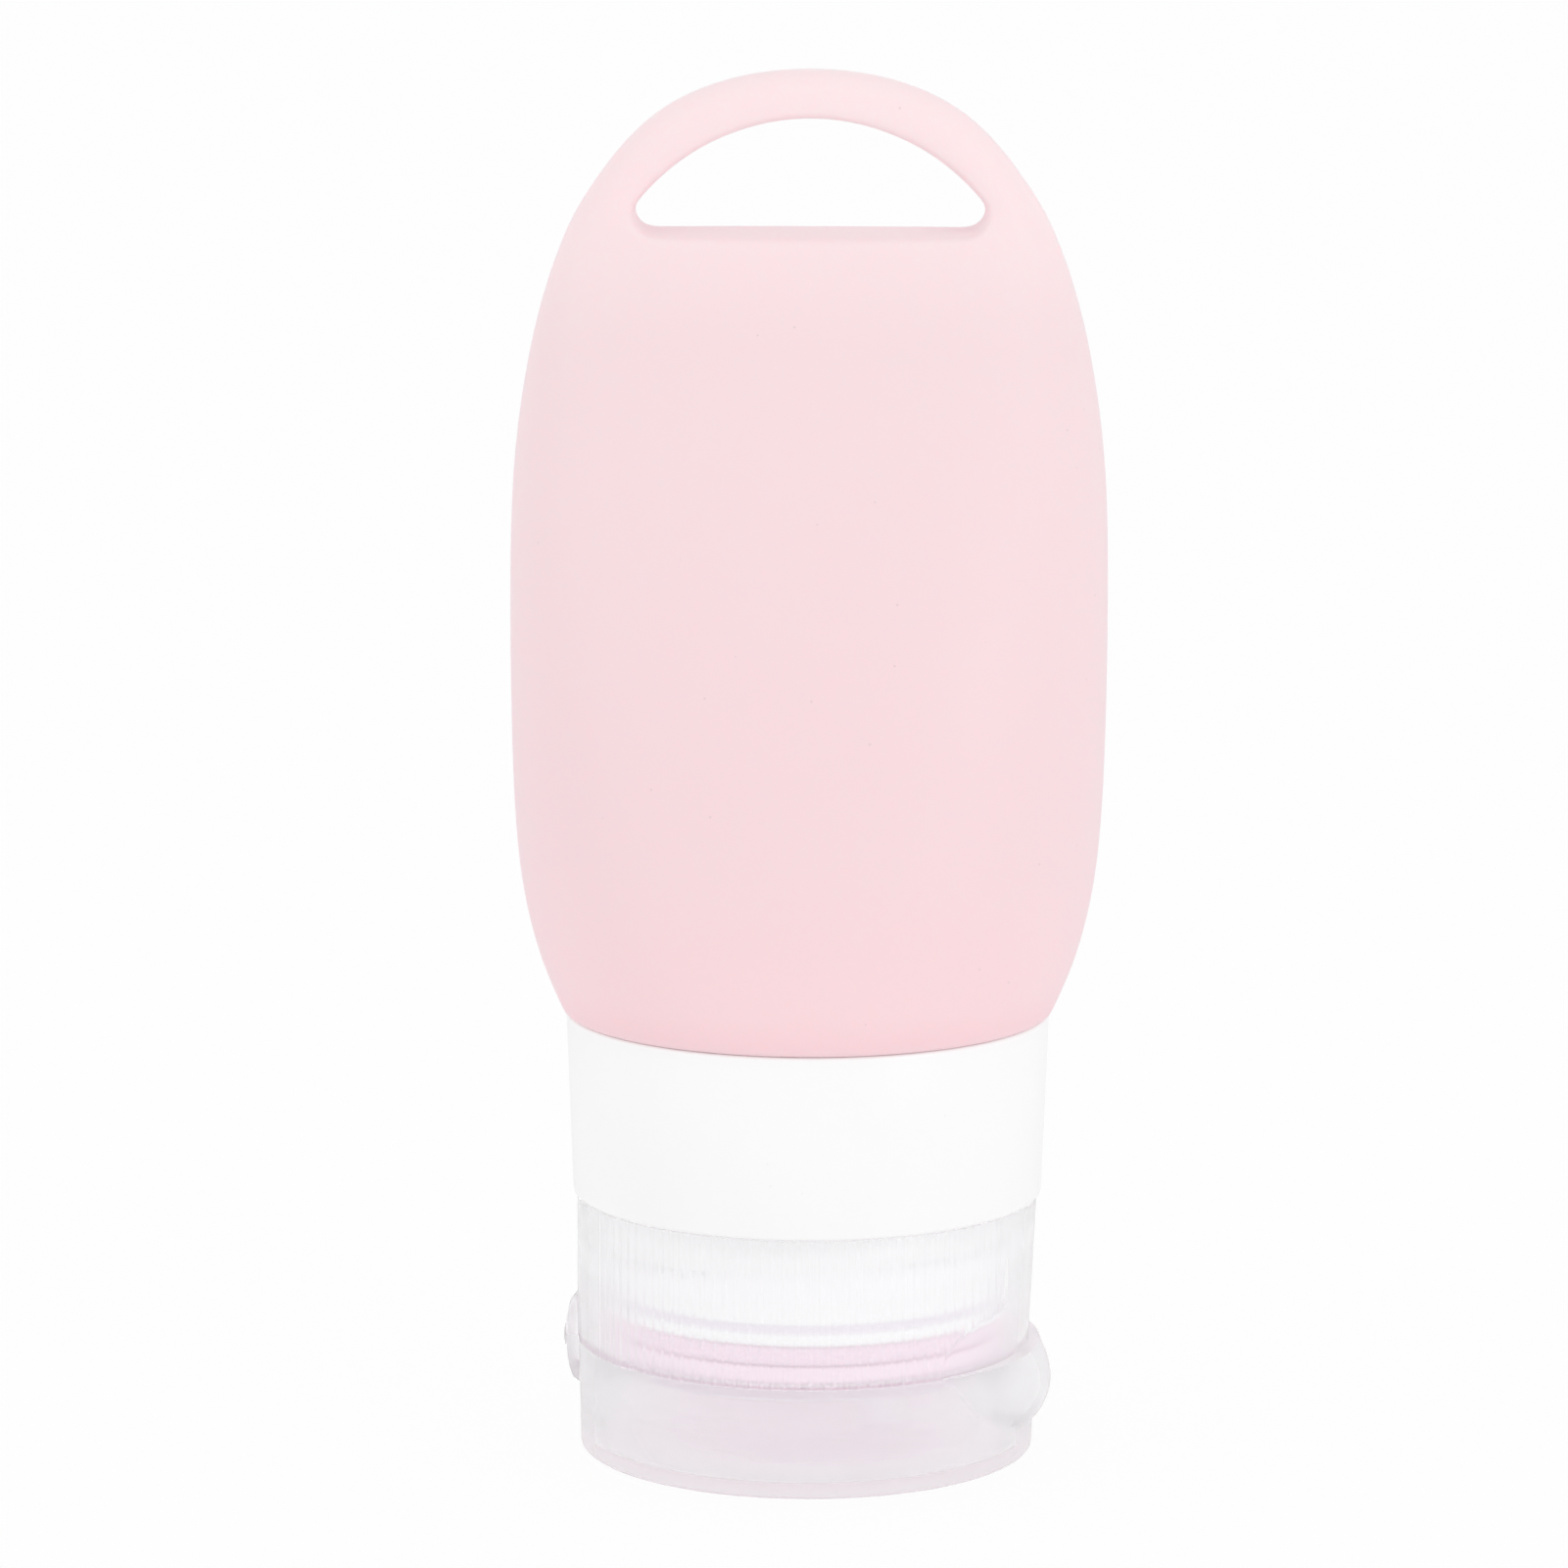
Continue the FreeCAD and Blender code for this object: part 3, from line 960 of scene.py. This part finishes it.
def moulding_group():
    """Fine unevenness of a moulded surface: broad clouds and a fine grain."""
    group, nodes, links, entry, leave = new_group(
        "moulded_surface", ("Cloud Scale", "Grain Scale"), ("Clouds", "Grain"))
    kinds = (("Cloud Scale", "Clouds", 3.0, 0.55), ("Grain Scale", "Grain", 2.0, 0.5))
    for scale, result, detail, roughness in kinds:
        noise = nodes.new("ShaderNodeTexNoise")
        noise.inputs["Detail"].default_value = detail
        noise.inputs["Roughness"].default_value = roughness
        links.new(entry["Place"], noise.inputs["Vector"])
        links.new(entry[scale], noise.inputs["Scale"])
        links.new(noise.outputs["Fac"], leave[result])
    return group


def dust_group():
    """A mask of scattered tiny specks, more of them in some places than others."""
    group, nodes, links, entry, leave = new_group(
        "dust_specks", ("Speck Scale", "Speck Size"), ("Specks",))
    cells = nodes.new("ShaderNodeTexVoronoi")
    links.new(entry["Place"], cells.inputs["Vector"])
    links.new(entry["Speck Scale"], cells.inputs["Scale"])
    near = combine(nodes, links, "LESS_THAN", cells.outputs["Distance"], entry["Speck Size"])
    patches = nodes.new("ShaderNodeTexNoise")
    patches.inputs["Scale"].default_value = patch_scale
    patches.inputs["Detail"].default_value = 1.0
    links.new(entry["Place"], patches.inputs["Vector"])
    some = combine(nodes, links, "GREATER_THAN", patches.outputs["Fac"], 0.5)
    links.new(combine(nodes, links, "MULTIPLY", near, some), leave["Specks"])
    return group


def place_group(nodes, links, group, place, **values):
    node = nodes.new("ShaderNodeGroup")
    node.node_tree = group
    links.new(place, node.inputs["Place"])
    for name, value in values.items():
        node.inputs[name.replace("_", " ").title()].default_value = value
    return node


def mould_surface(nodes, links, shader, group, place, scales, clouds, roughness, bump):
    """Gives a shader its moulded gloss and grain, and returns the clouds for its tone."""
    surface = place_group(nodes, links, group, place, cloud_scale=scales[0], grain_scale=scales[1])
    gloss = map_range(nodes, links, surface.outputs["Clouds"], *clouds, *roughness)
    links.new(gloss, shader.inputs["Roughness"])
    relief = nodes.new("ShaderNodeBump")
    relief.inputs["Strength"].default_value = bump[0]
    relief.inputs["Distance"].default_value = bump[1]
    links.new(surface.outputs["Grain"], relief.inputs["Height"])
    links.new(relief.outputs["Normal"], shader.inputs["Normal"])
    return surface.outputs["Clouds"]


def dust_over(nodes, links, group, place, colour, dust_colour, scale, size, share):
    specks = place_group(nodes, links, group, place, speck_scale=scale, speck_size=size)
    faint = map_range(nodes, links, specks.outputs["Specks"], *full_range, 0.0, share)
    return mix_colour(nodes, links, faint, colour, dust_colour)


def make_silicone(moulding, dust):
    """Matt blush silicone: paler towards the loop, partly as painted light; painted shade above
    the collar; a painted pink glow in its hollow.
    """
    material, nodes, links, shader = new_material("blush_silicone")
    place = object_place(nodes)
    # Tones by height, with painted shade low down and painted light towards the loop
    ramp = nodes.new("ShaderNodeValToRGB")
    ramp.color_ramp.interpolation = "EASE"
    stops = ramp.color_ramp.elements
    while len(stops) < len(silicone_tones_with_painted_shade):
        stops.new(0.5)
    for stop, (share, tone) in zip(stops, silicone_tones_with_painted_shade):
        stop.position = share
        stop.color = tone
    height = height_of(nodes, links, place)
    risen = map_range(nodes, links, height, lip_bottom_z, apex_z, *full_range)
    links.new(risen, ramp.inputs["Fac"])
    clouds = mould_surface(nodes, links, shader, moulding, place,
                           scales=(70.0, 2600.0), clouds=cloud_range,
                           roughness=(0.44, 0.54), bump=(0.12, 0.05 * mm))
    tone = map_range(nodes, links, clouds, *cloud_range, 0.0, 0.06)
    clouded = mix_colour(nodes, links, tone, ramp.outputs["Color"], silicone_cloud)
    dusty = dust_over(nodes, links, dust, place, clouded, silicone_dust,
                      scale=420.0, size=0.045, share=0.35)
    links.new(dusty, shader.inputs["Base Color"])
    # The hollow's inside gets a painted pink glow: emission standing in for light that comes
    # through the wall
    painted_light_mask = nodes.new("ShaderNodeAttribute")
    painted_light_mask.attribute_name = "inside"
    glow = mix_colour(nodes, links, painted_light_mask.outputs["Fac"], no_glow, painted_hollow_glow)
    links.new(glow, shader.inputs["Emission Color"])
    shader.inputs["Emission Strength"].default_value = 0.26
    shader.inputs["IOR"].default_value = silicone_ior
    shader.inputs["Subsurface Weight"].default_value = 0.3
    shader.inputs["Subsurface Radius"].default_value = (1.0, 0.45, 0.5)
    shader.inputs["Subsurface Scale"].default_value = 2.5 * mm
    shader.inputs["Sheen Weight"].default_value = 0.22
    shader.inputs["Sheen Roughness"].default_value = sheen_roughness
    shader.inputs["Sheen Tint"].default_value = silicone_sheen
    return material


def make_collar_plastic(moulding, dust):
    """Plain white, with painted lavender shade in the groove above the bead."""
    material, nodes, links, shader = new_material("white_collar_plastic")
    place = object_place(nodes)
    clouds = mould_surface(nodes, links, shader, moulding, place,
                           scales=(55.0, 1800.0), clouds=cloud_range,
                           roughness=(0.3, 0.38), bump=(0.06, 0.03 * mm))
    tone = map_range(nodes, links, clouds, *cloud_range, *full_range)
    white = mix_colour(nodes, links, tone, collar_white, collar_paler)
    # Painted lavender shade along the groove above the bead
    above = combine(nodes, links, "SUBTRACT", height_of(nodes, links, place), groove_z)
    away = combine(nodes, links, "ABSOLUTE", above)
    thin = map_range(nodes, links, away, 0.2 * mm, 0.42 * mm, 1.0, 0.0)
    groove_shaded = mix_colour(nodes, links, thin, white, collar_groove_painted_shade)
    dusty = dust_over(nodes, links, dust, place, groove_shaded, collar_dust,
                      scale=300.0, size=0.04, share=0.25)
    links.new(dusty, shader.inputs["Base Color"])
    shader.inputs["IOR"].default_value = collar_ior
    return material


def make_clear_plastic(moulding, name, wall, paler, painted_pink_shade, pink_shade_radii, pink_shade_heights,
                       clearness, haze, shade):
    """Milky clear plastic, with painted pink shade at its heart standing in for shade lit pink by
    light coming down through the silicone.
    """
    material, nodes, links, shader = new_material(name)
    place = object_place(nodes)
    # Where the painted pink shade goes: near the axis, between two heights
    flat = nodes.new("ShaderNodeVectorMath")
    flat.operation = "MULTIPLY"
    flat.inputs[1].default_value = (1, 1, 0)
    links.new(place, flat.inputs[0])
    radius = nodes.new("ShaderNodeVectorMath")
    radius.operation = "LENGTH"
    links.new(flat.outputs["Vector"], radius.inputs[0])
    inward = nodes.new("ShaderNodeMapRange")
    inward.interpolation_type = "SMOOTHSTEP"
    inward.inputs["From Min"].default_value = pink_shade_radii[1]
    inward.inputs["From Max"].default_value = pink_shade_radii[0]
    links.new(radius.outputs["Value"], inward.inputs["Value"])
    height = height_of(nodes, links, place)
    low, high = pink_shade_heights
    above = map_range(nodes, links, height, low - tint_fade, low, 0.0, 1.0)
    below = map_range(nodes, links, height, high, high + tint_fade, 1.0, 0.0)
    level = combine(nodes, links, "MULTIPLY", above, below)
    painted_light_mask = combine(nodes, links, "MULTIPLY", inward.outputs["Result"], level)
    clouds = mould_surface(nodes, links, shader, moulding, place,
                           scales=(90.0, 1400.0), clouds=full_range,
                           roughness=(0.18, 0.28), bump=(0.03, 0.02 * mm))
    shell = mix_colour(nodes, links, clouds, wall, paler)
    pink_shaded = mix_colour(nodes, links, painted_light_mask, shell, painted_pink_shade)
    links.new(pink_shaded, shader.inputs["Base Color"])
    shader.inputs["IOR"].default_value = clear_ior
    shader.inputs["Transmission Weight"].default_value = clearness
    shader.inputs["Sheen Weight"].default_value = haze
    shader.inputs["Sheen Roughness"].default_value = sheen_roughness
    path = nodes.new("ShaderNodeLightPath").outputs
    passing = combine(nodes, links, "MAXIMUM", path["Is Shadow Ray"], path["Is Diffuse Ray"])
    clear = nodes.new("ShaderNodeBsdfTransparent")
    clear.inputs["Color"].default_value = shade
    mix = mix_shaders(nodes, links, passing, shader.outputs["BSDF"], clear.outputs["BSDF"])
    links.new(mix, nodes["Material Output"].inputs["Surface"])
    return material


def make_seal_silicone(moulding):
    material, nodes, links, shader = new_material("seal_ring_silicone")
    clouds = mould_surface(nodes, links, shader, moulding, object_place(nodes),
                           scales=(120.0, 2600.0), clouds=cloud_range,
                           roughness=(0.42, 0.52), bump=(0.1, 0.04 * mm))
    tone = map_range(nodes, links, clouds, *cloud_range, *full_range)
    pink = mix_colour(nodes, links, tone, seal_pink, seal_paler)
    links.new(pink, shader.inputs["Base Color"])
    shader.inputs["IOR"].default_value = silicone_ior
    return material


# Floor, lights and camera

floor_size = 6.0
floor_lift = 0.01 * mm
floor_colour = (0.88, 0.88, 0.88, 1)
floor_roughness = 0.9
floor_white = 1.02
floor_share = 0.35
floor_share_mirrored = 0.25
floor_thinness = 0.9
room_light = 0.9
room_white = 1.0
lamp_aim = Vector((0, 0, 58 * mm))
lamps = (
    ("key_right", Vector((0.545, -0.5, 0.23)), 0.16, 0.42, 0.73),
    ("fill_left", Vector((-0.64, -0.3, 0.25)), 0.5, 0.5, 0.5),
)


def make_floor():
    """A white floor, thin to the eye so that a cap screwed down past it still shows."""
    bpy.ops.object.select_all(action="DESELECT")
    bpy.ops.mesh.primitive_plane_add(size=floor_size, location=(0, 0, floor_lift))
    floor = bpy.context.object
    floor.name = "floor"
    material, nodes, links, shader = new_material("floor_white")
    shader.inputs["Base Color"].default_value = floor_colour
    shader.inputs["Roughness"].default_value = floor_roughness
    path = nodes.new("ShaderNodeLightPath").outputs
    mirrored = combine(nodes, links, "MAXIMUM", path["Is Glossy Ray"], path["Is Transmission Ray"])
    share = map_range(nodes, links, mirrored, *full_range, floor_share, floor_share_mirrored)
    white = nodes.new("ShaderNodeEmission")
    white.inputs["Strength"].default_value = floor_white
    bright = mix_shaders(nodes, links, share, shader.outputs["BSDF"], white.outputs["Emission"])
    seen = map_range(nodes, links, path["Is Camera Ray"], *full_range, 0.0, floor_thinness)
    clear = nodes.new("ShaderNodeBsdfTransparent")
    thin = mix_shaders(nodes, links, seen, bright, clear.outputs["BSDF"])
    links.new(thin, nodes["Material Output"].inputs["Surface"])
    floor.data.materials.append(material)


def make_world():
    """Soft white light from all round, a little brighter where it is seen or mirrored."""
    world = bpy.data.worlds.new("soft_room")
    bpy.context.scene.world = world
    world.use_nodes = True
    nodes = world.node_tree.nodes
    links = world.node_tree.links
    glow = nodes["Background"]
    glow.inputs["Color"].default_value = (1, 1, 1, 1)
    path = nodes.new("ShaderNodeLightPath").outputs
    seen = combine(nodes, links, "MAXIMUM", path["Is Camera Ray"], path["Is Glossy Ray"])
    seen_too = combine(nodes, links, "MAXIMUM", seen, path["Is Transmission Ray"])
    strength = map_range(nodes, links, seen_too, *full_range, room_light, room_white)
    links.new(strength, glow.inputs["Strength"])


def add_lamp(name, place, width, height, watts):
    data = bpy.data.lights.new(name, "AREA")
    data.shape = "RECTANGLE"
    data.size = width
    data.size_y = height
    data.energy = watts
    lamp = bpy.data.objects.new(name, data)
    bpy.context.scene.collection.objects.link(lamp)
    lamp.location = place
    lamp.rotation_euler = (lamp_aim - place).to_track_quat("-Z", "Y").to_euler()


def make_camera():
    data = bpy.data.cameras.new("camera")
    data.sensor_width = camera_sensor_mm
    data.lens = camera_lens_mm
    data.clip_start = 10 * mm
    camera = bpy.data.objects.new("camera", data)
    bpy.context.scene.collection.objects.link(camera)
    camera.location = (camera_aside, -camera_distance, camera_height)
    tilt = Matrix.Rotation(math.radians(90 - camera_tilt_deg), 4, "X")
    roll = Matrix.Rotation(math.radians(camera_roll_deg), 4, "Z")
    camera.rotation_euler = (tilt @ roll).to_euler()
    bpy.context.scene.camera = camera


# The whole bottle

moulding = moulding_group()
dust = dust_group()
silicone = make_silicone(moulding, dust)
collar_plastic = make_collar_plastic(moulding, dust)
seal_silicone = make_seal_silicone(moulding)
# Cap: painted pink shade on its deck. Lid: a faint painted pink shade through its middle
cap_clear = make_clear_plastic(
    moulding, "cap_clear_plastic",
    wall=(0.975, 0.972, 0.982, 1), paler=(0.989625, 0.98658, 0.99673, 1),
    painted_pink_shade=(0.8, 0.52, 0.75, 1),
    pink_shade_radii=(deck_radius - 1.4 * mm, deck_radius - 0.3 * mm),
    pink_shade_heights=(deck_bottom_z, deck_top_z),
    clearness=0.72, haze=0.1, shade=(1, 1, 1, 1))
lid_clear = make_clear_plastic(
    moulding, "lid_clear_plastic",
    wall=(0.955, 0.962, 0.97, 1), paler=(0.969325, 0.97643, 0.98455, 1),
    painted_pink_shade=(0.9, 0.855, 0.92, 1),
    pink_shade_radii=(0.45 * lid_bore, lid_bore),
    pink_shade_heights=(0.0, parting_z),
    clearness=0.75, haze=0.25, shade=(0.99, 0.985, 0.992, 1))

make_squeeze_body(silicone)
make_collar(collar_plastic)
make_seal(seal_silicone)
make_screw_cap(cap_clear)
make_flip_lid(lid_clear)
make_hinge_web(cap_clear)
make_thread("neck_thread", screw_neck_radius - thread_sink, neck_thread_crest, thread_start,
            collar_plastic, "collar_plastic", "bottle")
make_thread("cap_thread", cap_bore + thread_sink, cap_thread_crest, thread_start + math.pi,
            cap_clear, "clear_plastic", "cap")

make_floor()
make_world()
for lamp in lamps:
    add_lamp(*lamp)
make_camera()
bpy.context.scene.view_settings.view_transform = "Standard"
